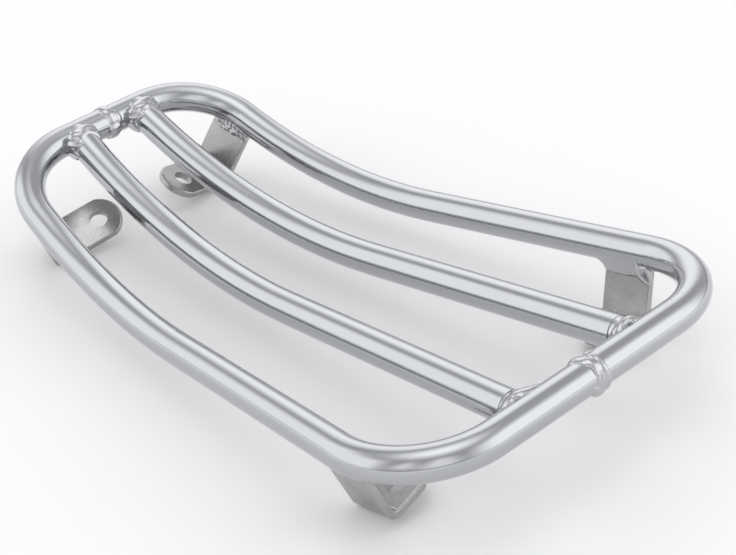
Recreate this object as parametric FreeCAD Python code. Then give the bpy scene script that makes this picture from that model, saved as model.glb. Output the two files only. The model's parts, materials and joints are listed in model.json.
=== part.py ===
import FreeCAD, Part
import math
import os

# A welded luggage rack of round tube: an outer loop made of two bent halves, two inner rails,
# and four folded strip brackets, each with one fixing hole.
# The rack is drawn with its near end level, then leaned so that its four brackets stand on a flat surface.
# X runs across the rack, Y along it from the near bar to the raised far bar, and Z is up.
# Millimetres and degrees.

# Tube
tube_diameter = 12.0
tube_wall = 1.5

# Outer loop, measured on the tube's centreline
near_half_width = 76.4       # middle of the near bar to the sharp corner of its line with the side's
side_taper = 6.3             # each side runs inwards towards the far end
corner_bend_radius = 31.6
side_straight = 101.7        # between the near corner's bend and the side's upward bend
side_bend_radius = 202.5
side_bend_angle = 28.2

# Inner rails, measured on the tube's centreline
rail_near_offset = 26.3      # from the middle plane, at the near bar
rail_far_offset = 14.6       # from the middle plane, at the far bar
rail_drop = 0.8              # the rail's height below the near bar
rail_rise = 2.9              # how far the rail's line passes above the far bar's middle
rail_bend_angle = 33.2
rail_near_gap_left = 2.3     # left open between the rail's near end and the bar, and filled with weld
rail_near_gap_right = 3.8

# Brackets, folded from one flat strip
strip_width = 18.3
strip_thickness = 3.0
strip_edge_radius = 0.7      # the strip's long edges, and the rim of its round end
tab_end_extra = 0.5          # how far the arc of that end is struck past half the strip's width
fold_inner_radius = 1.5
hole_diameter = 7.5          # at the middle of the round end
near_left_reach = 12.4       # outside of the fold to the middle of the hole
near_right_reach = 10.8
far_left_reach = 24.6
far_right_reach = 20.5

# How each bracket was held when it was welded:
# station along the side from the near sharp corner, lean of the leg inwards, turn of the strip inwards
# towards its far edge, and pitch of the strip upwards towards its far edge, against the tube's own line
near_left_station = 40.7
near_right_station = 43.7
far_station = 240.5
near_left_lean = 18.5
near_right_lean = 17.0
far_left_lean = 12.4
far_right_lean = 15.9
near_left_turn = -4.3
near_right_turn = 3.0
near_left_pitch = -4.4
near_right_pitch = 3.0
far_left_pitch = 6.2
far_right_pitch = 3.9

# The surface that the brackets stand on, seen from the level near end
stand_slope = 7.3
stand_depth = 36.4           # below the near bar's middle, straight under it

# Weld metal
ring_width = 7.0
ring_height = 1.1
drip_radius = 3.6            # the drop that hangs from the far bar's weld
drip_hang = 1.5              # how far it stands out below the bar
neck_spread = 6.0            # how far a rail's near weld spreads along the bar, past the rail
neck_inset = 0.4             # how far that weld lies inside the rail's surface
collar_spread = 2.6          # how far a rail's far weld spreads along the bar, past the rail
collar_length = 4.5          # from the bar's surface along the rail
collar_rise = 0.5            # how far that weld stands proud of the rail
inner_fillet_leg = 4.2       # the fillet weld on a bracket's inner face, down the leg and out from it
outer_fillet_leg = 2.6       # the smaller one on its outer face
fillet_toe = 0.6             # how far the weld's edge stands off the tube
fillet_bulge = 1.2           # how far the weld swells out between its edges
fillet_inset = 0.6           # how far a fillet weld stops short of the strip's edges

tube_radius = tube_diameter / 2
bore_radius = tube_radius - tube_wall
fold_outer_radius = fold_inner_radius + strip_thickness
across = FreeCAD.Vector(1, 0, 0)
along = FreeCAD.Vector(0, 1, 0)
up = FreeCAD.Vector(0, 0, 1)
middle = FreeCAD.Vector(0, 0, 0)


def sin(angle):
    return math.sin(math.radians(angle))


def cos(angle):
    return math.cos(math.radians(angle))


def tan(angle):
    return math.tan(math.radians(angle))


def unit(vector):
    return FreeCAD.Vector(vector).normalize()


def square_to(vector, direction):
    """The part of a vector that is square to a unit direction, as a unit vector."""
    return unit(vector - direction * vector.dot(direction))


def turned(direction, towards, angle):
    """A unit direction turned by an angle towards another one that is square to it."""
    return direction * cos(angle) + towards * sin(angle)


class TubePath:
    """A tube's centreline as straight runs and tangent bends, which sweeps a round section."""

    def __init__(self, start, heading):
        self.point = start
        self.heading = heading
        self.runs = []

    def straight(self, length):
        self.runs.append(("straight", self.point, self.heading, length))
        self.point = self.point + self.heading * length

    def bend(self, towards, radius, angle):
        side = square_to(towards, self.heading)
        centre = self.point + side * radius
        axis = self.heading.cross(side)
        self.runs.append(("bend", self.point, self.heading, centre, axis, angle))
        self.point = centre - turned(side, -self.heading, angle) * radius
        self.heading = turned(self.heading, side, angle)

    def sweep(self, radius, bore=0.0):
        pieces = []
        for run in self.runs:
            section = ring_face(run[1], run[2], radius, bore)
            if run[0] == "straight":
                pieces.append(section.extrude(run[2] * run[3]))
            else:
                pieces.append(section.revolve(run[3], run[4], run[5]))
        return pieces[0].multiFuse(pieces[1:]).removeSplitter().Solids[0]


def ring_face(centre, normal, radius, bore):
    """A flat disc, or a ring where it has a bore."""
    rims = [Part.Wire([Part.Circle(centre, normal, radius).toShape()])]
    if bore > 0:
        rims.append(Part.Wire([Part.Circle(centre, normal, bore).toShape()]))
    return Part.Face(rims, "Part::FaceMakerBullseye")


def mirrored(shape):
    """The left hand twin of a right hand shape."""
    return shape.mirror(middle, across)


def placed(shape, origin, x_axis, y_axis, z_axis):
    """A shape drawn in its own axes, moved to an origin and axes of the rack."""
    matrix = FreeCAD.Matrix(
        x_axis.x, y_axis.x, z_axis.x, origin.x,
        x_axis.y, y_axis.y, z_axis.y, origin.y,
        x_axis.z, y_axis.z, z_axis.z, origin.z,
        0, 0, 0, 1)
    return shape.transformed(matrix, True)


# Outer loop

side_heading = FreeCAD.Vector(-sin(side_taper), cos(side_taper), 0)
near_turn = 90 + side_taper
corner_run = corner_bend_radius * tan(near_turn / 2)
far_turn = math.degrees(math.acos(sin(side_taper) * cos(side_bend_angle)))


def loop_path():
    """Right half of the loop, from the middle of the near bar to the middle of the far bar."""
    path = TubePath(middle, across)
    path.straight(near_half_width - corner_run)
    path.bend(along, corner_bend_radius, near_turn)
    path.straight(side_straight)
    path.bend(up, side_bend_radius, side_bend_angle)
    path.bend(-across, corner_bend_radius, far_turn)
    path.straight(path.point.x)
    return path


right_loop = loop_path()
far_bar = right_loop.point
loop_rod = right_loop.sweep(tube_radius)


def loop_half():
    return right_loop.sweep(tube_radius, bore_radius)


# Inner rails

rail_taper = math.degrees(math.atan((rail_near_offset - rail_far_offset) / far_bar.y))
rail_heading = FreeCAD.Vector(-sin(rail_taper), cos(rail_taper), 0)


def rail_path():
    """Right rail's line from the near bar's middle to the far bar, so that both its ends can be cut off.

    Its straight run and the radius of its bend follow from where the two bars are.
    """
    short_run = rail_rise * sin(rail_bend_angle) + tube_radius * cos(rail_bend_angle)
    short_climb = tube_radius * sin(rail_bend_angle) - rail_rise * cos(rail_bend_angle)
    run = far_bar.y / cos(rail_taper) - short_run
    climb = far_bar.z + rail_drop - short_climb
    radius = climb / (1 - cos(rail_bend_angle))
    path = TubePath(FreeCAD.Vector(rail_near_offset, 0, -rail_drop), rail_heading)
    path.straight(run - radius * sin(rail_bend_angle))
    path.bend(up, radius, rail_bend_angle)
    path.straight(tube_radius)
    return path


right_rail = rail_path()
rail_rod = right_rail.sweep(tube_radius)


class RailEnd:
    """One end of the right rail, which is cut on a plane that is parallel to the bar it is welded to."""

    def __init__(self, bar, point, heading):
        self.bar = bar
        self.point = point
        self.heading = heading
        self.facing = FreeCAD.Vector(0, heading.y, heading.z).normalize()

    def centre(self, distance):
        """The middle of the rail where its plane is this far from the bar's middle."""
        short = (self.bar - self.point).dot(self.facing) - distance
        return self.point + self.heading * (short / self.heading.dot(self.facing))

    def waste(self, distance):
        """A block, wide enough for the rail, that holds all of it nearer to the bar than the distance."""
        size = 4 * tube_diameter
        block = Part.makeBox(size, size, size, FreeCAD.Vector(-size / 2, 0, -size / 2))
        return placed(block, self.centre(distance), across, self.facing, across.cross(self.facing))

    def flare(self, wide, high, length, radius):
        """A solid from an ellipse inside the bar to a circle about the rail, a length off the bar."""
        centre = self.centre(tube_radius / 2)
        upright = self.facing.cross(across)
        ellipse = Part.Ellipse(centre + across * wide, centre + upright * high, centre)
        circle = Part.Circle(self.centre(tube_radius + length), self.facing, radius)
        circle.XAxis = across
        return Part.makeLoft([Part.Wire([curve.toShape()]) for curve in (ellipse, circle)], True, True)


near_end = RailEnd(middle, right_rail.runs[0][1], -rail_heading)
far_end = RailEnd(far_bar, right_rail.point, right_rail.heading)


def rail(near_gap):
    """Right rail, its near end a gap short of its bar and its far end just touching it."""
    tube = right_rail.sweep(tube_radius, bore_radius)
    tube = tube.cut(near_end.waste(tube_radius + near_gap))
    return tube.cut(far_end.waste(tube_radius)).cut(loop_rod).Solids[0]


# Brackets

class Bracket:
    """One folded strip: a leg under the side tube and a tab with a hole, turned inwards.

    Its own axes are inward (square to the leg), strip (across its width) and rise (up the leg),
    from the sharp outer corner of the fold.
    """

    def __init__(self, reach, station, lean, turn, pitch):
        bend_start = corner_run + side_straight
        angle = min(max(station - bend_start, 0) / math.radians(side_bend_radius), side_bend_angle)
        point = FreeCAD.Vector(near_half_width, 0, 0) + side_heading * min(station, bend_start)
        point = point + side_heading * (side_bend_radius * sin(angle))
        point = point + up * (side_bend_radius * (1 - cos(angle)))
        tangent = turned(side_heading, up, angle)
        point = point + tangent * max(station - bend_start - side_bend_radius * math.radians(angle), 0)
        above = turned(up, -side_heading, angle)
        inward = above.cross(tangent)
        self.reach = reach
        pitched = turned(tangent, above, pitch)
        square = turned(above, -tangent, pitch)
        self.strip = turned(pitched, inward, turn)
        inward = turned(inward, -pitched, turn)
        self.rise = turned(square, -inward, lean)
        self.inward = turned(inward, square, lean)
        self.tube_point = point
        self.drop = self.depth_to_stand()
        self.corner = point - self.rise * self.drop - self.inward * (strip_thickness / 2)

    def depth_to_stand(self):
        """Length down the leg, from the tube's middle to the fold, that brings the fold to the surface."""
        facing = FreeCAD.Vector(0, -sin(stand_slope), cos(stand_slope))
        tilt = abs(self.strip.dot(facing))
        edge = strip_edge_radius
        aside = self.inward * (fold_outer_radius - strip_thickness / 2)
        height = (self.tube_point + aside + up * stand_depth).dot(facing)
        below_bend = (fold_outer_radius - edge) * math.sqrt(1 - tilt * tilt)
        below_side = (strip_width / 2 - edge) * tilt
        return fold_outer_radius + (height - below_bend - below_side - edge) / self.rise.dot(facing)

    def solid(self):
        """The folded strip, its leg run up into the tube so that it can be cut to the tube's underside."""
        hole = point_xz(self.reach, 0)
        bend_axis = point_xz(fold_outer_radius, fold_outer_radius)
        tab_start = point_xz(fold_outer_radius, 0)
        leg = half_section(point_xz(0, self.drop), across).extrude(up * (fold_outer_radius - self.drop))
        fold = half_section(point_xz(0, fold_outer_radius), across).revolve(bend_axis, -along, 90)
        tab = half_section(tab_start, up).extrude(hole - tab_start)
        end_radius = strip_width / 2 + tab_end_extra
        disc = half_section(hole, up, end_radius).revolve(hole, -up, 90)
        end = half_section(hole, up).extrude(across * end_radius).common(disc)
        half = leg.multiFuse([fold, tab, end])
        strip = half.fuse(half.mirror(middle, along)).removeSplitter()
        punch = Part.makeCylinder(hole_diameter / 2, 2 * strip_thickness, hole - up * strip_thickness / 2)
        return self.in_place(strip.cut(punch)).cut(loop_rod).Solids[0]

    def fillet_weld(self, inner, bracket):
        """A three sided bead in the corner between the leg's face and the tube."""
        sign = 1 if inner else -1
        face = strip_thickness if inner else 0
        leg = inner_fillet_leg if inner else outer_fillet_leg
        top = self.drop
        root = math.sqrt(tube_radius ** 2 - (strip_thickness / 2) ** 2)
        aside = strip_thickness / 2 + leg
        below = math.sqrt(max((tube_radius + fillet_toe) ** 2 - aside ** 2, 0))
        toe = point_xz(face + sign * leg, top - below)
        low = point_xz(face, top - root - leg)
        outwards = unit(point_xz(toe.z - low.z, low.x - toe.x)) * sign
        crown = (low + toe) / 2 + outwards * fillet_bulge
        outline = Part.Wire([
            Part.LineSegment(point_xz(face, top), low).toShape(),
            Part.Arc(low, crown, toe).toShape(),
            Part.LineSegment(toe, point_xz(face, top)).toShape()])
        length = strip_width - 2 * fillet_inset
        bead = Part.Face(outline).extrude(FreeCAD.Vector(0, length, 0))
        bead.translate(FreeCAD.Vector(0, -length / 2, 0))
        bead = self.in_place(bead).cut(loop_rod).cut(bracket)
        return largest(bead)

    def in_place(self, shape):
        return placed(shape, self.corner, self.inward, self.strip, self.rise)


def point_xz(x, z):
    return FreeCAD.Vector(x, 0, z)


def half_section(origin, through, half=strip_width / 2):
    """Half of the strip's section, from its middle line to its edge, whose two corners are rounded."""
    thick, edge = strip_thickness, strip_edge_radius
    short = edge * (1 - cos(45))

    def at(aside, deep):
        return origin + along * aside + through * deep

    return Part.Face(Part.Wire([
        Part.LineSegment(at(0, 0), at(half - edge, 0)).toShape(),
        Part.Arc(at(half - edge, 0), at(half - short, short), at(half, edge)).toShape(),
        Part.LineSegment(at(half, edge), at(half, thick - edge)).toShape(),
        Part.Arc(at(half, thick - edge), at(half - short, thick - short), at(half - edge, thick)).toShape(),
        Part.LineSegment(at(half - edge, thick), at(0, thick)).toShape(),
        Part.LineSegment(at(0, thick), at(0, 0)).toShape()]))


def all_brackets():
    """The four brackets, each drawn on the right side."""
    return {
        "near_left": Bracket(
            near_left_reach, near_left_station, near_left_lean, near_left_turn, near_left_pitch),
        "near_right": Bracket(
            near_right_reach, near_right_station, near_right_lean, near_right_turn, near_right_pitch),
        "far_left": Bracket(far_left_reach, far_station, far_left_lean, 0, far_left_pitch),
        "far_right": Bracket(far_right_reach, far_station, far_right_lean, 0, far_right_pitch)}


# Weld metal on the tubes

def ring_weld(bar):
    """A low crown of weld round a bar, over the joint of the two halves."""
    half = ring_width / 2
    left = bar + FreeCAD.Vector(-half, 0, tube_radius)
    right = bar + FreeCAD.Vector(half, 0, tube_radius)
    top = bar + up * (tube_radius + ring_height)
    outline = Part.Wire([Part.Arc(left, top, right).toShape(), Part.LineSegment(right, left).toShape()])
    return Part.Face(outline).revolve(bar, across, 360)


def drip_weld(bar):
    """The far ring with the drop of weld that hangs from its lower inner side."""
    below = unit(FreeCAD.Vector(0, -1, -1))
    drop = Part.makeSphere(drip_radius, bar + below * (tube_radius + drip_hang - drip_radius))
    both_halves = loop_rod.fuse(mirrored(loop_rod))
    return ring_weld(bar).fuse(drop.cut(both_halves)).Solids[0]


def neck_weld(near_gap):
    """The weld that fills the gap between the right rail's near end and the bar."""
    narrow = tube_radius - neck_inset
    neck = near_end.flare(tube_radius + neck_spread, narrow, near_gap, narrow)
    return largest(neck.cut(loop_rod))


def collar_weld():
    """The weld round the right rail's far end, flared along the bar."""
    wide = tube_radius + collar_spread
    collar = far_end.flare(wide, tube_radius, collar_length, tube_radius + collar_rise)
    return largest(collar.cut(loop_rod).cut(rail_rod))


def largest(shape):
    return max(shape.Solids, key=lambda solid: solid.Volume)


# All pieces, drawn with the near end level

def all_pieces():
    pieces = {}
    half = loop_half()
    pieces["loop_half_right"] = half
    pieces["loop_half_left"] = mirrored(half)
    pieces["rail_right"] = rail(rail_near_gap_right)
    pieces["rail_left"] = mirrored(rail(rail_near_gap_left))

    pieces["weld_ring_near"] = ring_weld(middle)
    pieces["weld_ring_far"] = drip_weld(far_bar)
    pieces["weld_rail_right_near"] = neck_weld(rail_near_gap_right)
    pieces["weld_rail_left_near"] = mirrored(neck_weld(rail_near_gap_left))
    collar = collar_weld()
    pieces["weld_rail_right_far"] = collar
    pieces["weld_rail_left_far"] = mirrored(collar)

    for name, bracket in all_brackets().items():
        strip = bracket.solid()
        solids = {
            "bracket_" + name: strip,
            "weld_" + name + "_inner": bracket.fillet_weld(True, strip),
            "weld_" + name + "_outer": bracket.fillet_weld(False, strip)}
        for node, solid in solids.items():
            pieces[node] = mirrored(solid) if "left" in name else solid
    return pieces


def stood_up(pieces):
    """All pieces leaned back by the stand's slope, with the origin under the middle of their box."""
    for name in pieces:
        pieces[name] = pieces[name].rotated(middle, across, -stand_slope)
    box = FreeCAD.BoundBox()
    for shape in pieces.values():
        box.add(shape.optimalBoundingBox(False))
    base = FreeCAD.Vector(box.Center.x, box.Center.y, box.ZMin)
    for name in pieces:
        pieces[name] = pieces[name].translated(-base)
    return pieces


os.makedirs("parts", exist_ok=True)
for node, shape in stood_up(all_pieces()).items():
    shape.exportStep("parts/" + node + ".step")
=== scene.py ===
import json
import math

import bpy
import numpy as np
from mathutils import Matrix, Vector


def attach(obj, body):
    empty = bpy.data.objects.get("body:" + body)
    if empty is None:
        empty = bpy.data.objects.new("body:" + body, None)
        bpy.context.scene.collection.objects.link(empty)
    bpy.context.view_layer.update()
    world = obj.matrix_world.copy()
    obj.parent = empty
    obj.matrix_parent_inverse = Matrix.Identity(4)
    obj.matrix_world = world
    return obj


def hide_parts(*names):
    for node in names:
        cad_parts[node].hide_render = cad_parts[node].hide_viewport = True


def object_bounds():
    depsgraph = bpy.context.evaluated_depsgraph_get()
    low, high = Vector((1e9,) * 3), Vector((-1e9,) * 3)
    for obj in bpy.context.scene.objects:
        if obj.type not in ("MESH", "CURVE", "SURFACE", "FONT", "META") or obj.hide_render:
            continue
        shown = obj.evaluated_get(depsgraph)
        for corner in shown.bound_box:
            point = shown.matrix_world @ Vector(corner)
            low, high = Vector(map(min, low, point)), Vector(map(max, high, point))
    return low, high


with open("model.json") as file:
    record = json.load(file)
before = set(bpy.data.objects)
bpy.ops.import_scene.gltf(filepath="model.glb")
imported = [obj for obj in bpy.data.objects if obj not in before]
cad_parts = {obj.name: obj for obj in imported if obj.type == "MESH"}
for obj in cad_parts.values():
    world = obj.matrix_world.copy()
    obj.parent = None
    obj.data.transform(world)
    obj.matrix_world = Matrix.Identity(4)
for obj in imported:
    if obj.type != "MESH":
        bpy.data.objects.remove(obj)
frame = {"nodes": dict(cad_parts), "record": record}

# A chrome plated luggage rack: bent tube welded together, with four folded strip brackets.
# X runs across the rack, Y along it to the raised far end, Z is up.
# Metres and degrees, but the weld metal is worked out in millimetres.

MM = 0.001
IN_DEGREES = 180 / math.pi
ACROSS = Vector((1, 0, 0))
cad_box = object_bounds()
nodes = frame["nodes"]
mounts = {mount["name"]: mount for mount in frame["record"]["mounts"]}


# Node helpers

def add_node(tree, kind, **settings):
    """A node with its plain settings made and its inputs filled in by name or number."""
    node = tree.nodes.new(kind)
    inputs = settings.pop("inputs", {})
    for name, value in settings.items():
        setattr(node, name, value)
    for name, value in inputs.items():
        if isinstance(value, bpy.types.NodeSocket):
            tree.links.new(value, node.inputs[name])
        else:
            node.inputs[name].default_value = value
    return node


def math_node(tree, operation, *values):
    return add_node(tree, "ShaderNodeMath", operation=operation, inputs=dict(enumerate(values))).outputs[0]


def vector_node(tree, operation, *values, output="Vector"):
    node = add_node(tree, "ShaderNodeVectorMath", operation=operation, inputs=dict(enumerate(values)))
    return node.outputs[output]


def remap(tree, value, from_low, from_high, to_low, to_high, smooth=False):
    kind = "SMOOTHSTEP" if smooth else "LINEAR"
    return add_node(tree, "ShaderNodeMapRange", interpolation_type=kind, inputs={
        "Value": value, "From Min": from_low, "From Max": from_high,
        "To Min": to_low, "To Max": to_high}).outputs[0]


def fade(tree, value, gone, full):
    """0 where a value is at gone, 1 where it is at full, and a smooth change between the two."""
    return remap(tree, value, gone, full, 0, 1, smooth=True)


def noise_value(tree, coordinates, scale, detail=2.0, roughness=0.5):
    return add_node(tree, "ShaderNodeTexNoise", inputs={
        "Vector": coordinates, "Scale": scale, "Detail": detail, "Roughness": roughness}).outputs["Fac"]


def bearing_of(tree, x, y):
    """The bearing of a point or direction, from +Y towards +X."""
    return math_node(tree, "MULTIPLY", math_node(tree, "ARCTAN2", x, y), IN_DEGREES)


def degrees_from(tree, bearing, middle):
    """How far a bearing is from a middle one, the short way round."""
    away = math_node(tree, "SUBTRACT", bearing, middle)
    return math_node(tree, "ABSOLUTE", math_node(tree, "WRAP", away, 180.0, -180.0))


def new_group(name, inputs, outputs, kind="Shader"):
    """A node group with named sockets, and its input and output nodes."""
    group = bpy.data.node_groups.new(name, kind + "NodeTree")
    for label, socket_kind, value in inputs:
        socket = group.interface.new_socket(label, in_out="INPUT", socket_type="NodeSocket" + socket_kind)
        if value is not None:
            socket.default_value = value
    for label, socket_kind in outputs:
        group.interface.new_socket(label, in_out="OUTPUT", socket_type="NodeSocket" + socket_kind)
    return group, group.nodes.new("NodeGroupInput"), group.nodes.new("NodeGroupOutput")


def use_group(tree, group, **values):
    """Places a group. The spaces in its inputs' names are written as underscores."""
    inputs = {name.replace("_", " "): value for name, value in values.items()}
    return add_node(tree, "ShaderNodeGroup", node_tree=group, inputs=inputs)


# Effects that the finishes share

def make_plating_haze():
    """Uneven polish: broad cloudy patches and fine wiping marks, as a roughness."""
    group, given, out = new_group("plating_haze", [
        ("Position", "Vector", None), ("Smoothest", "Float", 0.08), ("Hazed", "Float", 0.16),
        ("Cloud Scale", "Float", 60.0)], [("Roughness", "Float")])
    cloud = noise_value(group, given.outputs["Position"], given.outputs["Cloud Scale"], detail=3.0)
    wiping = noise_value(group, given.outputs["Position"], scale=900.0)
    wiping_share = 0.3
    clear, cloudy = 0.45, 0.85
    mixed = math_node(group, "MULTIPLY_ADD", wiping, wiping_share, cloud)
    smoothest, hazed = given.outputs["Smoothest"], given.outputs["Hazed"]
    rough = remap(group, mixed, clear, cloudy, smoothest, hazed, smooth=True)
    group.links.new(rough, out.inputs["Roughness"])
    return group


def make_surface_grain():
    """Height of a rough surface under the plating: grain, and pits where a second noise peaks."""
    group, given, out = new_group("surface_grain", [
        ("Position", "Vector", None), ("Grain Scale", "Float", 1500.0), ("Pit Scale", "Float", 400.0),
        ("Pit Level", "Float", 0.7)], [("Height", "Float")])
    grain = noise_value(
        group, given.outputs["Position"], given.outputs["Grain Scale"], detail=3.0, roughness=0.6)
    spots = noise_value(group, given.outputs["Position"], given.outputs["Pit Scale"], detail=0.0)
    pit_slope = 0.04
    pit_floor = math_node(group, "ADD", given.outputs["Pit Level"], pit_slope)
    pits = fade(group, spots, given.outputs["Pit Level"], pit_floor)
    group.links.new(math_node(group, "SUBTRACT", grain, pits), out.inputs["Height"])
    return group


plating_haze = make_plating_haze()
surface_grain = make_surface_grain()


# Finishes

def new_finish(name):
    material = bpy.data.materials.new(name)
    material.use_nodes = True
    tree = material.node_tree
    shader = tree.nodes["Principled BSDF"]
    shader.inputs["Metallic"].default_value = 1.0
    position = add_node(tree, "ShaderNodeTexCoord").outputs["Object"]
    return material, tree, shader, position


def tint(tree, factor, dark, light):
    """A colour between two. Inputs 6 and 7 of a Mix node are its pair of colours."""
    return add_node(tree, "ShaderNodeMix", data_type="RGBA", inputs={
        "Factor": factor, 6: (*dark, 1.0), 7: (*light, 1.0)}).outputs[2]


def bump(tree, height, depth):
    """The normal of a surface whose height goes from 0 to 1 over a depth in metres."""
    return add_node(tree, "ShaderNodeBump", inputs={"Height": height, "Distance": depth}).outputs["Normal"]


# Faint rings that the bending tools left on the rails: middle of the ring in millimetres,
# way along the tube, and how much rougher the ring is
bending_marks = [((-18.2, 71.0, 25.0), (0.045, 0.97, 0.24), 0.22),
                 ((16.6, 59.6, 22.4), (-0.045, 0.98, 0.19), 0.2),
                 ((25.3, -114.0, 33.4), (-0.045, 0.991, -0.127), 0.15),
                 ((25.4, -115.7, 33.6), (-0.045, 0.991, -0.127), 0.17)]

MARK_REACH = 8 * MM              # from the ring's middle, so that no other tube is marked
MARK_REACH_END = 9 * MM
MARK_HALF_WIDTH = 0.1 * MM
MARK_EDGE = 0.3 * MM             # where the ring has faded out


def ring_marks(tree, position):
    """How much rougher the tube is: a thin ring round it at each bending mark, and 0 elsewhere."""
    total = 0.0
    for middle, way, strength in bending_marks:
        away = vector_node(tree, "SUBTRACT", position, Vector(middle) * MM)
        along = vector_node(tree, "DOT_PRODUCT", away, way, output="Value")
        distance = vector_node(tree, "LENGTH", away, output="Value")
        near = remap(tree, distance, MARK_REACH, MARK_REACH_END, 1, 0)
        aside = math_node(tree, "ABSOLUTE", along)
        ring = remap(tree, aside, MARK_HALF_WIDTH, MARK_EDGE, strength, 0, smooth=True)
        total = math_node(tree, "MULTIPLY_ADD", ring, near, total)
    return total


def make_chrome_tube():
    """Bright plating over polished tube, with a faint waviness, a few small pits and bending marks."""
    material, tree, shader, position = new_finish("chrome_tube_finish")
    haze = use_group(tree, plating_haze, Position=position, Smoothest=0.05, Hazed=0.12, Cloud_Scale=45.0)
    grain = use_group(
        tree, surface_grain, Position=position, Grain_Scale=2500.0, Pit_Scale=260.0, Pit_Level=0.82)
    rough = math_node(tree, "ADD", ring_marks(tree, position), haze.outputs["Roughness"])
    tree.links.new(rough, shader.inputs["Roughness"])
    shade = tint(tree, noise_value(tree, position, scale=25.0),
                 dark=(0.445, 0.452, 0.47), light=(0.47, 0.477, 0.495))
    tree.links.new(shade, shader.inputs["Base Color"])
    wave = noise_value(tree, position, scale=55.0, detail=1.0)
    grain_share = 0.02
    height = math_node(tree, "MULTIPLY_ADD", grain.outputs["Height"], grain_share, wave)
    tree.links.new(bump(tree, height, depth=0.05 * MM), shader.inputs["Normal"])
    return material


def make_plated_strip():
    """Plating over strip that was never polished: satin, grainy and a little warmer."""
    material, tree, shader, position = new_finish("plated_strip_finish")
    haze = use_group(tree, plating_haze, Position=position, Smoothest=0.2, Hazed=0.3, Cloud_Scale=120.0)
    grain = use_group(
        tree, surface_grain, Position=position, Grain_Scale=3600.0, Pit_Scale=600.0, Pit_Level=0.76)
    tree.links.new(haze.outputs["Roughness"], shader.inputs["Roughness"])
    fine = noise_value(tree, position, scale=1400.0)
    broad = noise_value(tree, position, scale=90.0, detail=3.0)
    fine_share = 0.8
    darkest, palest = 0.6, 1.2
    mottle = math_node(tree, "MULTIPLY_ADD", fine, fine_share, broad)
    shade = tint(tree, remap(tree, mottle, darkest, palest, 0, 1),
                 dark=(0.35, 0.347, 0.342), light=(0.45, 0.447, 0.442))
    tree.links.new(shade, shader.inputs["Base Color"])
    tree.links.new(bump(tree, grain.outputs["Height"], depth=0.008 * MM), shader.inputs["Normal"])
    return material


def make_plated_weld():
    """Bright plating over rough weld metal."""
    material, tree, shader, position = new_finish("plated_weld_finish")
    haze = use_group(tree, plating_haze, Position=position, Smoothest=0.1, Hazed=0.2, Cloud_Scale=300.0)
    grain = use_group(
        tree, surface_grain, Position=position, Grain_Scale=1100.0, Pit_Scale=700.0, Pit_Level=0.74)
    tree.links.new(haze.outputs["Roughness"], shader.inputs["Roughness"])
    shade = tint(tree, noise_value(tree, position, scale=400.0),
                 dark=(0.44, 0.445, 0.455), light=(0.52, 0.525, 0.535))
    tree.links.new(shade, shader.inputs["Base Color"])
    tree.links.new(bump(tree, grain.outputs["Height"], depth=0.012 * MM), shader.inputs["Normal"])
    return material


finishes = {
    "chrome_tube": make_chrome_tube(),
    "plated_strip": make_plated_strip(),
    "plated_weld": make_plated_weld()}

for node in nodes.values():
    for slot in node.material_slots:
        slot.material = finishes[slot.material.name]


# Where the tubes and strips meet, in millimetres, from the CAD nodes and a few of the rack's own sizes

LEFT = -1
RIGHT = 1
NEAR = -1
FAR = 1
TUBE_RADIUS = 6.0
STRIP_THICKNESS = 3.0
STAND_SLOPE = 7.3                # how far the rack leans back on its brackets
RAIL_NEAR_OFFSET = 26.3          # a rail's middle from the rack's middle plane, at the near bar
RAIL_FAR_OFFSET = 14.6           # and at the far bar
RAIL_NEAR_HEIGHT = -0.8          # how far a rail's middle line passes above the near bar's middle
RAIL_FAR_HEIGHT = 2.9            # and above the far bar's
RAIL_BEND = 33.2                 # how far the rails bend upwards
CUT_WITHIN = 0.001               # how near to the middle plane a cut's corners lie
SQUARE_WITHIN = 0.01             # how far a leg's face may be from square to its tab, as a cosine

# From the middle of each bracket's hole to the middle of the tube, up the leg
tube_above_hole = {"near_left": 30.728, "near_right": 30.839, "far_left": 31.423, "far_right": 31.803}


def bar_middle(end):
    """The middle of the near or the far bar, from the cut end of a loop half."""
    co = np.array([vertex.co for vertex in nodes["loop_half_left"].data.vertices]) / MM
    on_cut = abs(co[:, 0]) < CUT_WITHIN
    cut = co[on_cut & (co[:, 1] * end > 0)]
    return Vector((cut.min(0) + cut.max(0)) / 2)


def pointing_up(direction):
    return direction if direction.z > 0 else -direction


near_bar = bar_middle(NEAR)
far_bar = bar_middle(FAR)
slope = math.radians(STAND_SLOPE)
bend = math.radians(RAIL_BEND)
rack_along = Vector((0, math.cos(slope), -math.sin(slope)))
rack_up = Vector((0, math.sin(slope), math.cos(slope)))

# The right rail's way towards the far bar before and after its bend, and how far it drifts across for
# each millimetre along the rack
rail_run = (far_bar - near_bar).dot(rack_along)
rail_drift = (RAIL_FAR_OFFSET - RAIL_NEAR_OFFSET) / rail_run
rail_way = (rack_along + ACROSS * rail_drift).normalized()
raised_way = rail_way * math.cos(bend) + rack_up * math.sin(bend)


# Weld metal, in millimetres: puddles laid along strokes, fused, roughened and seated on the tubes.
# A spot turns a stroke's numbers into places. Its bores are those of the tubes that the weld sits on:
# a point on the middle line, the line's direction, and where the bore ends along it, or None if it runs on.

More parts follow.
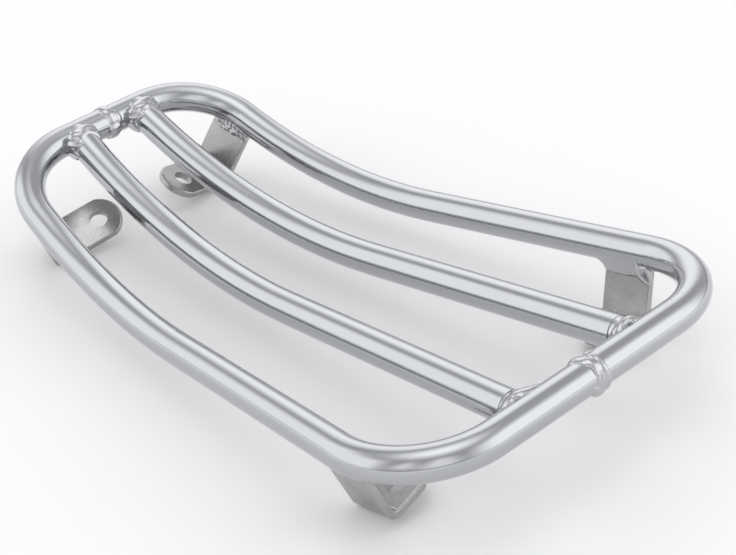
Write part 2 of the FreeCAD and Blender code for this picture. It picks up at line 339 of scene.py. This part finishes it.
SEAT_RADIUS = 5.1                # in the tube's wall, so that no weld metal stands in the bore
RAIL_BORE_END = -1.0             # how far along a rail its bore is kept free, from the rail's end
COLLAR_LEAN = 0.4                # how far the puddles at a rail's far end are tipped away from the bar
NECK_LEAN = 0.2                  # and at its near end
FILLET_LEAN = 0.8                # how far the puddles of a fillet are tipped down the leg
FUSE_VOXEL = 0.19
SOFTEN_STEP = 0.5
PUDDLE_UNEVENNESS = 0.02
PUDDLE_DEPTH = 0.62              # least depth of a puddle, as a share of its half width
LUMP_SIZE = 3.2
LUMP_SWING = 4.0                 # the noise strays about a quarter from its middle, so this makes it a whole


class OnBar:
    """Places over a bar: along it, round it from the top towards the near side, and off its middle."""

    def __init__(self, middle):
        self.middle = middle
        self.bores = [(middle, ACROSS, None)]

    def place(self, along, angle, radius):
        turn = math.radians(angle)
        outward = Vector((0, -math.sin(turn), math.cos(turn)))
        return self.middle + ACROSS * along + outward * radius, outward


class OnRailEnd:
    """Places round a rail's end: round it from outboard over the top, back from the bar, off its middle.

    The end is where the rail's middle line, seen from the side, is a tube's radius short of the bar's middle.
    """

    def __init__(self, bar, heading, offset, height, side, lean):
        facing = Vector((0, heading.y, heading.z)).normalized()
        over_bar = pointing_up(facing.cross(ACROSS)) * height
        offset = offset + over_bar.dot(rack_along) * rail_drift
        end = bar + over_bar + ACROSS * offset - heading * (TUBE_RADIUS / heading.dot(facing))
        flip = Vector((side, 1, 1))
        self.end = end * flip
        self.heading = heading * flip
        sideways = ACROSS * side
        self.outboard = (sideways - self.heading * sideways.dot(self.heading)).normalized()
        self.above = pointing_up(self.heading.cross(self.outboard))
        self.lean = lean
        self.bores = [(bar, ACROSS, None), (self.end, self.heading, RAIL_BORE_END)]

    def place(self, angle, back, radius):
        turn = math.radians(angle)
        aside = self.outboard * math.cos(turn) + self.above * math.sin(turn)
        outward = (aside - self.heading * self.lean).normalized()
        return self.end - self.heading * back + aside * radius, outward


class OnBracket:
    """Places at a bracket's top: along the strip, down from the tube's middle, aside of the strip's middle.

    The axis of the bracket's hole runs up the leg, and the leg's broadest faces look inwards and outwards.
    The strip runs nearly along the tube.
    """

    def __init__(self, place):
        mount = mounts["screw_hole_" + place]
        hole = Vector(mount["pos_m"]) / MM
        self.rise = Vector(mount["axis"]).normalized()
        faces = nodes["bracket_" + place].data.polygons
        upright = [face for face in faces if abs(face.normal.dot(self.rise)) < SQUARE_WITHIN]
        leg = max(upright, key=lambda face: face.area)
        leg_middle = leg.center / MM - leg.normal * (STRIP_THICKNESS / 2)
        reach = (hole - leg_middle).dot(leg.normal)
        self.inward = leg.normal * math.copysign(1, reach)
        strip = self.rise.cross(self.inward)
        self.strip = strip if strip.y > 0 else -strip
        self.tube = hole + self.rise * tube_above_hole[place] - leg.normal * reach
        self.bores = [(self.tube, self.strip, None)]

    def place(self, along, down, aside):
        way = self.inward if aside > 0 else -self.inward
        point = self.tube + self.strip * along - self.rise * down + self.inward * aside
        return point, (way - self.rise * FILLET_LEAN).normalized()


def read_attribute(tree, name, kind):
    """A value that each point of a stroke carries."""
    return add_node(tree, "GeometryNodeInputNamedAttribute", data_type=kind, inputs={"Name": name}).outputs[0]


def finish_tree(tree, geometry, given, out):
    """Ends a tree: real geometry instead of instances, in the finish that the tree is given."""
    real = add_node(tree, "GeometryNodeRealizeInstances", inputs={"Geometry": geometry}).outputs[0]
    done = add_node(tree, "GeometryNodeSetMaterial", inputs={
        "Geometry": real, "Material": given.outputs["Finish"]}).outputs[0]
    tree.links.new(done, out.inputs[0])


def make_puddle_tree():
    """Puddles laid along each stroke, every one turned to face outwards and a little uneven."""
    tree, given, out = new_group("weld_puddles", [
        ("Strokes", "Geometry", None), ("Pitch", "Float", 0.9), ("Puddle Length", "Float", 1.1),
        ("Unevenness", "Float", 0.12), ("Seed", "Int", 1), ("Finish", "Material", None)],
        [("Puddles", "Geometry")], "Geometry")
    curve = add_node(tree, "GeometryNodeMeshToCurve", inputs={"Mesh": given.outputs["Strokes"]}).outputs[0]
    curve = add_node(tree, "GeometryNodeCurveSplineType", spline_type="CATMULL_ROM", inputs={
        "Curve": curve}).outputs[0]
    curve = add_node(tree, "GeometryNodeResampleCurve", mode="LENGTH", inputs={
        "Curve": curve, "Length": given.outputs["Pitch"]}).outputs[0]
    outward = read_attribute(tree, "outward", "FLOAT_VECTOR")
    width = read_attribute(tree, "half_width", "FLOAT")
    depth = read_attribute(tree, "depth", "FLOAT")
    tangent = add_node(tree, "GeometryNodeInputTangent").outputs[0]
    turn = add_node(tree, "FunctionNodeAxesToRotation", primary_axis="Z", secondary_axis="X", inputs={
        "Primary Axis": outward, "Secondary Axis": tangent}).outputs[0]
    size = add_node(tree, "ShaderNodeCombineXYZ", inputs={
        0: given.outputs["Puddle Length"], 1: width, 2: depth}).outputs[0]
    least = math_node(tree, "SUBTRACT", 1.0, given.outputs["Unevenness"])
    most = math_node(tree, "ADD", 1.0, given.outputs["Unevenness"])
    uneven = add_node(tree, "FunctionNodeRandomValue", data_type="FLOAT_VECTOR", inputs={
        0: least, 1: most, "Seed": given.outputs["Seed"]}).outputs[0]
    puddle = add_node(tree, "GeometryNodeMeshIcoSphere", inputs={"Subdivisions": 4}).outputs[0]
    laid = add_node(tree, "GeometryNodeInstanceOnPoints", inputs={
        "Points": curve, "Instance": puddle, "Rotation": turn,
        "Scale": vector_node(tree, "MULTIPLY", size, uneven)}).outputs[0]
    finish_tree(tree, laid, given, out)
    return tree


def make_skin_tree():
    """Lumps that push a fused weld in and out along its normals."""
    tree, given, out = new_group("weld_skin", [
        ("Weld", "Geometry", None), ("Lump Size", "Float", 1.8), ("Lump Height", "Float", 0.15),
        ("Seed", "Float", 0.0), ("Finish", "Material", None)], [("Weld", "Geometry")], "Geometry")
    scale = math_node(tree, "DIVIDE", 1.0, given.outputs["Lump Size"])
    lumps = add_node(tree, "ShaderNodeTexNoise", noise_dimensions="4D", inputs={
        "W": given.outputs["Seed"], "Scale": scale, "Detail": 1.0, "Roughness": 0.5}).outputs[0]
    lumps = math_node(tree, "SUBTRACT", lumps, 0.5)
    height = math_node(tree, "MULTIPLY", lumps, given.outputs["Lump Height"])
    height = math_node(tree, "MULTIPLY", height, LUMP_SWING)
    normal = add_node(tree, "GeometryNodeInputNormal").outputs[0]
    push = add_node(tree, "ShaderNodeVectorMath", operation="SCALE", inputs={
        "Vector": normal, "Scale": height}).outputs[0]
    moved = add_node(tree, "GeometryNodeSetPosition", inputs={
        "Geometry": given.outputs["Weld"], "Offset": push}).outputs[0]
    finish_tree(tree, moved, given, out)
    return tree


puddle_tree = make_puddle_tree()
skin_tree = make_skin_tree()


def set_inputs(modifier, tree, **values):
    """A node modifier's inputs, by the socket's identifier. An underscore stands for a space in its name."""
    modifier.node_group = tree
    for item in tree.interface.items_tree:
        name = item.name.replace(" ", "_")
        if item.in_out == "INPUT" and name in values:
            modifier[item.identifier] = values[name]


def stroke_mesh(name, spot, strokes):
    """One edge line for each stroke, through the middles of its puddles."""
    points, edges, outwards, widths, depths = [], [], [], [], []
    for stroke in strokes:
        first = len(points)
        for *where, half_width in stroke["points"]:
            crest, outward = spot.place(*where)
            depth = max(PUDDLE_DEPTH * half_width, stroke["depth"])
            points.append(crest - outward * depth)
            outwards.extend(outward)
            widths.append(half_width)
            depths.append(depth)
        last = len(points) - 1
        edges.extend((index, index + 1) for index in range(first, last))
        if stroke["closed"]:
            edges.append((last, first))
    mesh = bpy.data.meshes.new(name)
    mesh.from_pydata(points, edges, [])
    mesh.attributes.new("outward", "FLOAT_VECTOR", "POINT").data.foreach_set("vector", outwards)
    mesh.attributes.new("half_width", "FLOAT", "POINT").data.foreach_set("value", widths)
    mesh.attributes.new("depth", "FLOAT", "POINT").data.foreach_set("value", depths)
    return mesh


def seat_weld(mesh, spot):
    """Keeps the weld out of the tubes' bores and inside the rack's box, and turns millimetres into metres."""
    co = np.empty(len(mesh.vertices) * 3)
    mesh.vertices.foreach_get("co", co)
    co = co.reshape(-1, 3)
    for start, heading, end in spot.bores:
        heading = np.array(heading)
        away = co - np.array(start)
        reach = away @ heading
        off = away - np.outer(reach, heading)
        radius = np.linalg.norm(off, axis=1)
        inside = radius < SEAT_RADIUS
        if end is not None:
            inside &= reach < end
        co[inside] += off[inside] * (SEAT_RADIUS / radius[inside] - 1)[:, None]
    low, high = (np.array(corner) / MM for corner in cad_box)
    co = np.clip(co, low, high) * MM
    mesh.vertices.foreach_set("co", co.ravel())
    mesh.update()


def make_weld(node, spot, strokes, seed, pitch=0.9, puddle=1.5, soft=26, height=0.05):
    """The weld bead that stands for a CAD node.

    Pitch is how far apart its puddles are, and puddle is half their length. Soft is how often the fused metal
    is smoothed, and height is how far the lumps in its skin stand out.
    """
    finish = finishes["plated_weld"]
    name = node.replace("weld_", "bead_")
    draft = bpy.data.objects.new(name + "_draft", stroke_mesh(name + "_strokes", spot, strokes))
    bpy.context.scene.collection.objects.link(draft)
    set_inputs(draft.modifiers.new("puddles", "NODES"), puddle_tree, Pitch=pitch, Puddle_Length=puddle,
               Unevenness=PUDDLE_UNEVENNESS, Seed=seed, Finish=finish)
    fuse = draft.modifiers.new("fuse", "REMESH")
    fuse.mode = "VOXEL"
    fuse.voxel_size = FUSE_VOXEL
    soften = draft.modifiers.new("soften", "SMOOTH")
    soften.factor = SOFTEN_STEP
    soften.iterations = soft
    set_inputs(draft.modifiers.new("skin", "NODES"), skin_tree, Lump_Size=LUMP_SIZE, Lump_Height=height,
               Seed=float(seed), Finish=finish)
    bpy.context.view_layer.update()
    ready = draft.evaluated_get(bpy.context.evaluated_depsgraph_get())
    mesh = bpy.data.meshes.new_from_object(ready)
    bpy.data.objects.remove(draft)
    seat_weld(mesh, spot)
    mesh.name = name
    mesh.shade_smooth()
    mesh.materials.clear()
    mesh.materials.append(finish)
    piece = bpy.data.objects.new(name, mesh)
    bpy.context.scene.collection.objects.link(piece)
    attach(piece, "root")
    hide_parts(node)


# Strokes: each point has its place, as the spot counts it, and half the width of the weld there.
# The depth is the least that its puddles have.

ALL_ROUND = range(0, 360, 30)


def line(*points, closed=False, depth=1.0):
    return {"points": points, "closed": closed, "depth": depth}


def round_bar(along, radius, half_width):
    """A closed stroke all the way round a bar."""
    return line(*((along, angle, radius, half_width) for angle in ALL_ROUND), closed=True)


def round_rail(back, radius, half_width):
    """A closed stroke all the way round a rail, this far back from the bar."""
    return line(*((angle, back, radius, half_width) for angle in ALL_ROUND), closed=True)


# The rings round the two bars, where the loop halves meet
near_ring = [
    line((-1.7, -75, 6.5, 3.0), (-1.8, -40, 6.95, 3.4), (-1.4, -10, 6.9, 3.0), (-0.1, 15, 7.0, 2.5),
         (0.6, 34, 6.95, 2.3), (0.7, 47, 6.7, 2.2), (0.8, 60, 6.35, 2.2), (0.9, 90, 6.35, 2.2),
         (0.6, 112, 6.7, 2.4), (0.2, 132, 7.1, 2.6), (0.0, 170, 6.7, 2.7), (0.0, 220, 6.6, 2.7),
         (-1.0, 260, 6.5, 2.8), closed=True),
    line((-0.4, -4, 7.05, 1.1), (-0.6, 8, 7.1, 1.1), (-0.7, 25, 7.05, 1.1), (-0.8, 50, 6.85, 1.2),
         (-0.7, 75, 6.65, 1.2), (-0.6, 95, 6.5, 1.1)),
    line((2.3, -6, 6.75, 1.3), (2.6, 8, 7.05, 1.4), (2.5, 20, 7.15, 1.4), (2.4, 48, 7.15, 1.4),
         (2.75, 75, 7.1, 1.2), (2.9, 95, 7.1, 1.2), (2.8, 115, 7.1, 1.3), (2.5, 132, 7.1, 1.4)),
    line((-3.0, 104, 6.4, 1.5), (-1.8, 118, 6.9, 2.0), (-0.6, 132, 7.5, 2.3), (1.2, 142, 7.3, 2.0),
         (0.5, 165, 7.0, 2.2)),
    line((4.0, -36, 6.6, 0.8), (4.4, -28, 6.6, 0.7), depth=0.8)]
far_ring = [
    round_bar(0.3, 6.35, 2.4),
    line((-0.4, -50, 6.7, 2.4), (0.2, -10, 6.9, 2.7), (0.6, 15, 7.1, 3.0), (0.8, 30, 7.15, 2.9),
         (1.0, 45, 7.0, 2.4), (1.1, 62, 6.85, 2.0), (1.1, 80, 6.7, 1.8)),
    line((3.7, 45, 6.6, 1.6), (3.7, 62, 6.85, 1.8), (3.6, 78, 6.8, 1.6)),
    line((-0.8, 104, 7.2, 2.6), (1.2, 110, 7.6, 3.0), (3.2, 104, 7.2, 2.6)),
    line((0.0, 124, 7.6, 3.0), (2.0, 126, 7.5, 3.0)),
    line((0.4, 146, 7.2, 2.7), (0.8, 160, 7.0, 2.5)),
    line((0.4, 180, 6.8, 2.0), (-0.3, 230, 6.8, 2.0), (0.2, 280, 6.9, 2.0))]

# The collars round the rails' far ends
left_collar = [
    line((0, -0.2, 6.9, 1.8), (30, -0.2, 7.1, 1.9), (60, 0.2, 6.9, 1.8), (90, 0.2, 6.8, 1.7),
         (120, 0.0, 6.9, 1.8), (150, -0.2, 7.3, 2.1), (180, -0.2, 7.3, 2.1), (225, -0.4, 7.0, 2.0),
         (270, -0.4, 6.9, 2.0), (315, -0.4, 6.8, 1.8), closed=True),
    line((0, 3.2, 6.7, 2.2), (30, 3.2, 6.7, 2.1), (60, 2.6, 6.5, 1.8), (90, 1.2, 6.5, 1.4),
         (120, 1.4, 6.6, 1.4), (145, 2.4, 6.6, 1.8), (180, 2.0, 6.6, 1.9), (225, 1.8, 6.6, 1.9),
         (270, 1.8, 6.6, 1.9), (315, 2.2, 6.6, 2.0), closed=True),
    line((34, -0.6, 8.0, 2.0), (44, 0.6, 7.9, 2.4), (56, 1.4, 7.4, 2.4), (74, 1.4, 7.0, 1.9)),
    line((14, 0.8, 8.1, 1.5), (24, 2.6, 7.5, 1.6), (36, 3.7, 7.1, 1.5), (50, 4.0, 6.8, 1.3)),
    line((-2, 0.5, 7.9, 2.2), (-5, 2.6, 7.5, 2.3), (-4, 4.4, 7.0, 1.9), (4, 6.0, 6.5, 1.1)),
    line((-20, 0.4, 8.2, 2.0), (-25, 2.4, 7.7, 2.0), (-30, 4.2, 7.0, 1.6)),
    line((60, -1.4, 7.2, 1.5), (86, -0.9, 7.1, 1.7), (112, -0.9, 7.2, 1.7), (135, -1.0, 7.5, 1.6)),
    line((140, -0.4, 7.6, 1.7), (143, 1.9, 7.2, 1.7), (146, 3.6, 6.7, 1.4)),
    line((169, 0.2, 8.0, 1.5), (-170, -0.2, 8.0, 1.5), (-150, 0.0, 7.4, 1.4))]
right_collar = [
    line((0, -0.2, 7.3, 2.1), (30, -0.2, 7.3, 2.1), (60, 0.2, 6.9, 1.8), (90, 0.2, 6.8, 1.7),
         (120, 0.0, 6.9, 1.8), (150, -0.2, 7.1, 1.9), (180, -0.2, 6.9, 1.8), (225, -0.4, 6.8, 1.8),
         (270, -0.4, 6.9, 2.0), (315, -0.4, 7.0, 2.0), closed=True),
    line((0, 2.0, 6.7, 2.0), (30, 2.4, 6.6, 1.9), (60, 3.0, 6.6, 1.9), (90, 2.2, 6.6, 1.7),
         (120, 2.0, 6.6, 1.7), (145, 2.2, 6.7, 1.8), (180, 2.2, 6.8, 2.0), (225, 1.8, 6.6, 2.0),
         (270, 1.8, 6.6, 2.0), (315, 1.8, 6.6, 2.0), closed=True),
    line((154, -0.2, 8.0, 1.9), (138, 0.5, 7.8, 2.2), (118, 1.2, 7.4, 2.2), (97, 1.6, 7.1, 1.8)),
    line((168, 0.4, 8.2, 1.4), (161, 2.0, 7.7, 1.4), (146, 3.2, 7.2, 1.3), (130, 3.6, 6.9, 1.1)),
    line((-172, 0.2, 8.2, 2.2), (-172, 2.2, 7.6, 2.3), (-166, 4.0, 7.0, 1.9), (-158, 4.6, 6.6, 1.1)),
    line((-160, 0.4, 8.3, 2.0), (-152, 2.4, 7.8, 2.0), (-145, 4.2, 7.0, 1.6)),
    line((128, -1.6, 7.5, 1.5), (107, -1.1, 7.1, 1.7), (78, -1.0, 7.1, 1.8), (50, -1.0, 7.3, 1.6),
         (25, -0.8, 7.6, 1.4)),
    line((80, 1.4, 7.0, 1.6), (72, 4.0, 6.8, 1.4), (70, 6.2, 6.5, 1.1), depth=0.9),
    line((60, 0.8, 7.2, 1.9), (40, 1.4, 7.3, 1.8), (22, 1.0, 7.7, 1.4)),
    line((10, 0.4, 7.8, 1.3), (-10, 0.4, 7.8, 1.4), (-35, 0.2, 7.4, 1.4))]

# Metal that closes the wedge between a rail's end and the bar, far and near
far_web = [
    line((34, -1.8, 5.8, 1.6), (59, -2.0, 5.8, 1.9), (90, -2.0, 6.0, 2.1), (121, -2.0, 5.8, 1.9),
         (146, -1.8, 5.8, 1.6)),
    line((38, -3.2, 5.3, 1.5), (58, -3.8, 4.8, 1.8), (90, -4.0, 4.6, 1.9), (122, -3.8, 4.8, 1.8),
         (142, -3.2, 5.3, 1.5))]
near_web = [
    line((40, -2.8, 6.0, 1.6), (65, -3.3, 6.0, 1.8), (90, -3.5, 6.1, 1.8), (115, -3.3, 6.0, 1.8),
         (140, -2.8, 6.0, 1.6)),
    line((55, -2.0, 5.6, 1.6), (90, -2.2, 5.7, 1.8), (125, -2.0, 5.6, 1.6))]

# The necks at the rails' near ends
left_neck = [
    round_rail(1.9, 5.95, 1.6),
    round_rail(0.9, 6.15, 2.0),
    round_rail(-0.6, 6.8, 1.9),
    line((96, -2.8, 7.1, 1.5), (118, -3.0, 7.7, 1.6), (134, -3.2, 8.6, 1.4), (146, -3.4, 9.9, 1.0)),
    line((85, -1.2, 7.2, 2.0), (100, -1.4, 7.6, 2.3), (119, -1.9, 8.1, 2.4), (132, -2.1, 8.9, 2.2),
         (143, -2.4, 9.9, 1.7), (150, -2.6, 11.0, 1.0)),
    line((100, 0.2, 7.0, 1.8), (122, -0.2, 7.4, 2.0), (138, -0.9, 8.3, 1.8), (150, -1.4, 9.6, 1.5),
         (157, -1.7, 11.0, 1.0)),
    line((150, -0.4, 7.4, 1.8), (163, -1.0, 8.8, 1.6), (170, -1.2, 10.4, 1.2)),
    line((20, -1.2, 7.6, 1.6), (8, -1.4, 9.6, 1.3))]
right_neck = [
    round_rail(3.6, 5.95, 1.1),
    round_rail(2.4, 6.0, 2.0),
    round_rail(1.0, 6.3, 2.0),
    round_rail(-0.6, 6.9, 2.0),
    line((36, -2.4, 7.1, 1.6), (52, -2.5, 6.9, 1.7), (70, -2.5, 6.9, 1.8), (90, -2.4, 7.2, 1.6)),
    line((60, -2.0, 6.9, 1.6), (78, -1.6, 7.3, 1.8), (98, -1.2, 7.9, 1.9), (120, -1.0, 7.8, 1.8),
         (140, -1.2, 7.6, 1.6)),
    line((150, 1.4, 6.7, 0.9), (138, 1.0, 6.9, 0.9), (125, 0.2, 7.2, 0.9), (108, -1.2, 7.9, 0.9),
         depth=0.8),
    line((20, -1.2, 7.6, 1.6), (8, -1.4, 9.6, 1.3)),
    line((165, -1.2, 7.8, 1.6), (174, -1.4, 9.4, 1.3))]

# The fillets at the tops of the brackets, on their inner faces and their outer ones
near_right_inner = [
    line((7.6, 4.1, 4.5, 1.5), (4.0, 4.1, 4.6, 1.6), (0.0, 4.1, 4.6, 1.6), (-4.4, 4.2, 4.6, 1.5),
         depth=1.2),
    line((8.0, 6.2, 3.5, 1.8), (4.0, 6.3, 3.7, 2.1), (0.0, 6.3, 3.7, 2.1), (-5.0, 6.3, 3.7, 2.0),
         (-7.6, 6.6, 3.4, 1.5)),
    line((7.8, 7.6, 3.1, 1.7), (4.0, 7.8, 3.25, 1.9), (0.0, 7.7, 3.3, 1.9), (-4.5, 7.6, 3.3, 1.8)),
    line((7.8, 8.6, 2.6, 1.5), (4.0, 9.0, 2.6, 1.6), (0.0, 8.9, 2.7, 1.6), (-4.5, 8.6, 2.9, 1.6)),
    line((13.2, 5.7, 1.8, 0.9), (11.2, 6.0, 2.4, 1.3), (8.6, 7.0, 3.0, 1.8)),
    line((9.0, 8.2, 1.8, 1.2), (8.4, 9.4, 1.6, 1.0)),
    line((-5.0, 4.6, 5.4, 0.9), (-4.9, 7.2, 4.7, 1.1), (-6.0, 9.4, 3.5, 1.1), (-8.4, 11.2, 2.2, 0.9),
         depth=0.8),
    line((-6.5, 6.0, 4.4, 1.6), (-7.1, 8.0, 3.6, 1.6)),
    line((-8.2, 5.9, 4.6, 1.5), (-8.7, 8.4, 3.3, 1.5), (-9.0, 10.4, 2.1, 1.1))]
far_right_inner = [
    line((7.6, 4.8, 4.4, 1.4), (3.0, 4.7, 4.8, 1.6), (-3.0, 4.6, 4.9, 1.6), (-8.0, 4.6, 4.6, 1.3),
         depth=1.2),
    line((7.5, 6.6, 2.8, 1.5), (4.0, 7.0, 3.4, 2.0), (0.0, 7.0, 3.6, 2.0), (-4.0, 7.0, 3.8, 2.0),
         (-8.2, 6.8, 3.6, 1.6)),
    line((6.0, 8.8, 2.8, 1.9), (3.6, 10.2, 2.4, 1.4), (1.6, 9.6, 2.8, 1.6), (-0.6, 8.6, 3.4, 2.2),
         (-2.8, 8.6, 3.4, 1.6)),
    line((-4.6, 7.4, 4.2, 1.8), (-6.8, 7.2, 4.0, 1.4), (-8.6, 8.0, 2.4, 1.1))]
left_inner = [
    line((8.6, 6.9, 2.8, 1.8), (4.0, 7.1, 3.5, 2.1), (0.0, 7.2, 3.5, 2.1), (-4.0, 7.1, 3.5, 2.1),
         (-8.6, 6.9, 2.8, 1.8)),
    line((7.8, 9.0, 2.3, 1.0), (3.0, 9.2, 2.5, 1.2), (-3.0, 9.1, 2.5, 1.2), (-7.8, 9.0, 2.3, 1.0))]
outer = [
    line((8.2, 6.6, -2.0, 1.1), (4.0, 6.8, -2.4, 1.3), (0.0, 6.9, -2.5, 1.4), (-4.0, 6.8, -2.4, 1.3),
         (-8.2, 6.6, -2.0, 1.1)),
    line((6.8, 7.8, -1.9, 0.8), (0.0, 8.1, -2.1, 0.9), (-6.8, 7.8, -1.9, 0.8))]


def far_end(side):
    return OnRailEnd(far_bar, raised_way, RAIL_FAR_OFFSET, RAIL_FAR_HEIGHT, side, COLLAR_LEAN)


def near_end(side):
    return OnRailEnd(near_bar, -rail_way, RAIL_NEAR_OFFSET, RAIL_NEAR_HEIGHT, side, NECK_LEAN)


brackets = {place: OnBracket(place) for place in tube_above_hole}

make_weld("weld_ring_near", OnBar(near_bar), near_ring, seed=3, soft=42, height=0.03)
make_weld("weld_ring_far", OnBar(far_bar), far_ring, seed=4, soft=64, height=0.02)
make_weld("weld_rail_left_far", far_end(LEFT), left_collar + far_web, seed=5, soft=80, height=0.02)
make_weld("weld_rail_right_far", far_end(RIGHT), right_collar + far_web, seed=6,
          pitch=0.8, puddle=1.2, soft=60, height=0.02)
make_weld("weld_rail_left_near", near_end(LEFT), left_neck + near_web, seed=7, soft=60, height=0.02)
make_weld("weld_rail_right_near", near_end(RIGHT), right_neck + near_web, seed=8, soft=48, height=0.02)
make_weld("weld_near_right_inner", brackets["near_right"], near_right_inner, seed=9, soft=40)
make_weld("weld_far_right_inner", brackets["far_right"], far_right_inner, seed=10,
          pitch=2.2, puddle=2.0, soft=5)
make_weld("weld_near_left_inner", brackets["near_left"], left_inner, seed=11)
make_weld("weld_far_left_inner", brackets["far_left"], left_inner, seed=12)
for seed, (place, bracket) in enumerate(brackets.items(), 13):
    make_weld("weld_" + place + "_outer", bracket, outer, seed=seed)


# Light tent: a bright roof, lit cloth panels and grey seams between them.
# Bearings run from +Y towards +X, and rises from the horizon up.

TENT_COLOUR = (0.985, 0.99, 1.0, 1.0)
BACKDROP = 1.0                   # what the camera sees behind the floor
CLOTH = 0.65
ROOF = 1.9
ROOF_START = 52
ROOF_FULL = 88
GROUND_LINE = 0.5                # the share of the light that is left low down
GROUND_LINE_FROM = -4
GROUND_LINE_TO = 7
PANEL_HEAD = 61                  # where the panels end, and where they are fully lit
PANEL_HEAD_FULL = 36
PANEL_NARROWS_FROM = 24
PANEL_NARROWING = 0.3            # on each side, for each degree above that

# Middle bearing, how far from it the panel is fully lit and ends, where its foot starts and is fully lit,
# brightness
tent_panels = [(-46, 28, 54, -6, 6, 1.56), (40, 8, 40, -1, 19, 1.68), (141, 12, 56, -6, 6, 1.78),
               (-147, 3, 29, -4, 12, 1.38), (-111, -3, 23, -2, 26, 1.42)]


def make_tent():
    world = bpy.data.worlds.new("light_tent")
    world.use_nodes = True
    tree = world.node_tree
    background = tree.nodes["Background"]
    direction = add_node(tree, "ShaderNodeTexCoord").outputs["Generated"]
    x, y, z = add_node(tree, "ShaderNodeSeparateXYZ", inputs={"Vector": direction}).outputs
    rise = math_node(tree, "MULTIPLY", math_node(tree, "ARCSINE", z), IN_DEGREES)
    bearing = bearing_of(tree, x, y)
    head = fade(tree, rise, PANEL_HEAD, PANEL_HEAD_FULL)
    above = math_node(tree, "MAXIMUM", math_node(tree, "SUBTRACT", rise, PANEL_NARROWS_FROM), 0.0)
    narrowing = math_node(tree, "MULTIPLY", above, PANEL_NARROWING)
    light = remap(tree, rise, ROOF_START, ROOF_FULL, CLOTH, ROOF, smooth=True)
    ground = remap(tree, rise, GROUND_LINE_FROM, GROUND_LINE_TO, GROUND_LINE, 1, smooth=True)
    light = math_node(tree, "MULTIPLY", light, ground)
    for middle, full, edge, foot, foot_full, bright in tent_panels:
        aside = math_node(tree, "ADD", degrees_from(tree, bearing, middle), narrowing)
        upright = math_node(tree, "MULTIPLY", head, fade(tree, rise, foot, foot_full))
        glow = math_node(tree, "MULTIPLY", fade(tree, aside, edge, full), upright)
        light = math_node(tree, "MULTIPLY_ADD", glow, bright - CLOTH, light)
    # Inputs 2 and 3 of a Mix node are its pair of numbers
    seen = add_node(tree, "ShaderNodeLightPath").outputs["Is Camera Ray"]
    shown = add_node(tree, "ShaderNodeMix", data_type="FLOAT", inputs={
        "Factor": seen, 2: light, 3: BACKDROP}).outputs[0]
    background.inputs["Color"].default_value = TENT_COLOUR
    tree.links.new(shown, background.inputs["Strength"])
    bpy.context.scene.world = world


# Floor, pale, with painted pools of light: it glows by emission, brighter away from the rack on the sides
# where the tent's panels stand

FLOOR_HALF_SIZE = 3.0
FLOOR_GREY = (0.88, 0.88, 0.88, 1.0)
FLOOR_ROUGHNESS = 0.9
PAINTED_POOLS_START = 0.12               # from the rack's middle, in metres
PAINTED_POOLS_FULL = 0.5

# Painted pools of light that the floor glows with: middle bearing, how far from it the pool of light ends,
# brightness
painted_light_pools = [(141, 60, 0.4), (-46, 60, 0.32), (-130, 60, 0.15)]


def make_floor():
    mesh = bpy.data.meshes.new("floor")
    half = FLOOR_HALF_SIZE
    corners = [(-half, -half, 0), (half, -half, 0), (half, half, 0), (-half, half, 0)]
    mesh.from_pydata(corners, [], [(0, 1, 2, 3)])
    floor = bpy.data.objects.new("floor", mesh)
    bpy.context.scene.collection.objects.link(floor)
    material = bpy.data.materials.new("pale_floor")
    material.use_nodes = True
    tree = material.node_tree
    shader = tree.nodes["Principled BSDF"]
    shader.inputs["Base Color"].default_value = FLOOR_GREY
    shader.inputs["Roughness"].default_value = FLOOR_ROUGHNESS
    position = add_node(tree, "ShaderNodeTexCoord").outputs["Object"]
    x, y, _ = add_node(tree, "ShaderNodeSeparateXYZ", inputs={"Vector": position}).outputs
    bearing = bearing_of(tree, x, y)
    light = 0.0
    for middle, edge, bright in painted_light_pools:
        painted_pool = fade(tree, degrees_from(tree, bearing, middle), edge, 0)
        light = math_node(tree, "MULTIPLY_ADD", painted_pool, bright, light)
    distance = vector_node(tree, "LENGTH", position, output="Value")
    light = math_node(tree, "MULTIPLY", light, fade(tree, distance, PAINTED_POOLS_START, PAINTED_POOLS_FULL))
    # Painted light: the pools glow by emission, as if the tent's panels lit the floor there
    shader.inputs["Emission Color"].default_value = (1, 1, 1, 1)
    tree.links.new(light, shader.inputs["Emission Strength"])
    mesh.materials.append(material)


# Camera, at the photograph's viewing angle

CAMERA_AIM = Vector((6.471, -19.631, 24.0)) * MM
CAMERA_DISTANCE = 632.913 * MM
CAMERA_BEARING = 39.043
CAMERA_DROP = 32.401
CAMERA_ROLL = 6.430
CAMERA_LENS = 86.924
SENSOR_WIDTH = 36.0
CLIP_START = 0.01
CLIP_END = 20.0


def make_camera():
    bearing, drop = math.radians(CAMERA_BEARING), math.radians(CAMERA_DROP)
    level = Vector((math.sin(bearing), math.cos(bearing), 0))
    view = level * math.cos(drop) - Vector((0, 0, math.sin(drop)))
    right = view.cross(Vector((0, 0, 1))).normalized()
    upward = right.cross(view)
    roll = Matrix.Rotation(math.radians(CAMERA_ROLL), 3, view)
    right, upward = roll @ right, roll @ upward
    data = bpy.data.cameras.new("camera")
    data.lens = CAMERA_LENS
    data.sensor_width = SENSOR_WIDTH
    data.clip_start = CLIP_START
    data.clip_end = CLIP_END
    camera = bpy.data.objects.new("camera", data)
    bpy.context.scene.collection.objects.link(camera)
    turn = Matrix((right, upward, -view)).transposed().to_4x4()
    camera.matrix_world = Matrix.Translation(CAMERA_AIM - view * CAMERA_DISTANCE) @ turn
    bpy.context.scene.camera = camera


make_tent()
make_floor()
make_camera()
bpy.context.scene.view_settings.view_transform = "Standard"
